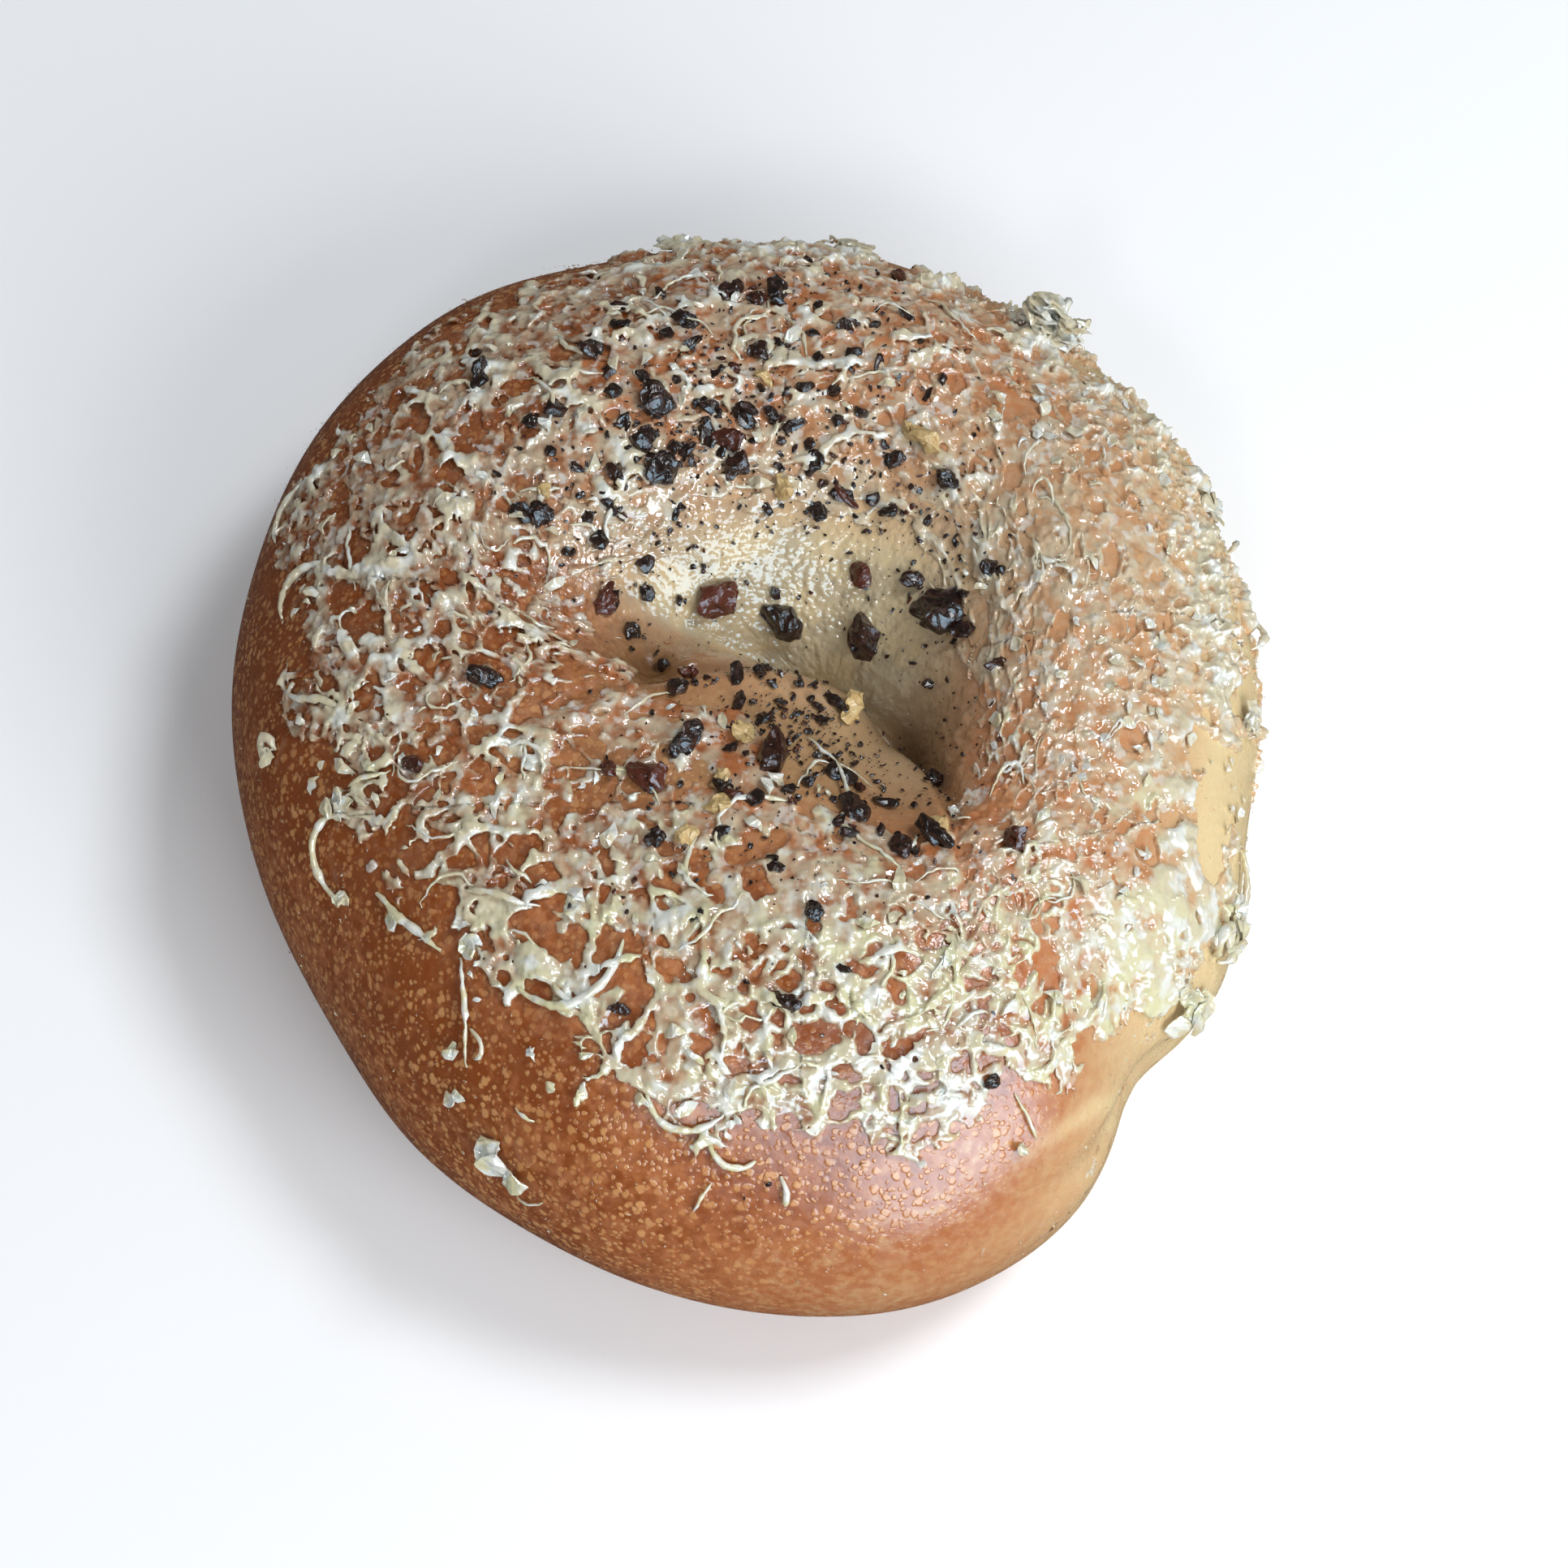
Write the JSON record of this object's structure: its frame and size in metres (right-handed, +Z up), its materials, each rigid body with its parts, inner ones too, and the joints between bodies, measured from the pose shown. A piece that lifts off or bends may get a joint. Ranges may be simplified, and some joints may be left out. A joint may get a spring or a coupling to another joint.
{
  "type": "bagel",
  "caption": "Savoury bagel: a soft, uneven ring of baked dough, its hole closed to a bent dimple, topped with melted grated cheese and cracked black pepper",
  "frame": {"origin": "middle of the bounding box, on the table that the bagel rests on", "axes": "+Z up out of the topped side, +X to the thin side of the ring, -Y to the fat side with the fold at its right"},
  "size_m": [0.1024, 0.1146, 0.0423],
  "materials": {
    "crust": "baked, satin to glossy",
    "cheese": "melted and dried, satin",
    "pepper": "cracked, wet with oil in places",
    "pepper_heart": "matte"
  },
  "bodies": {
    "root": {"bagel": "crust"}
  },
  "joints": []
}
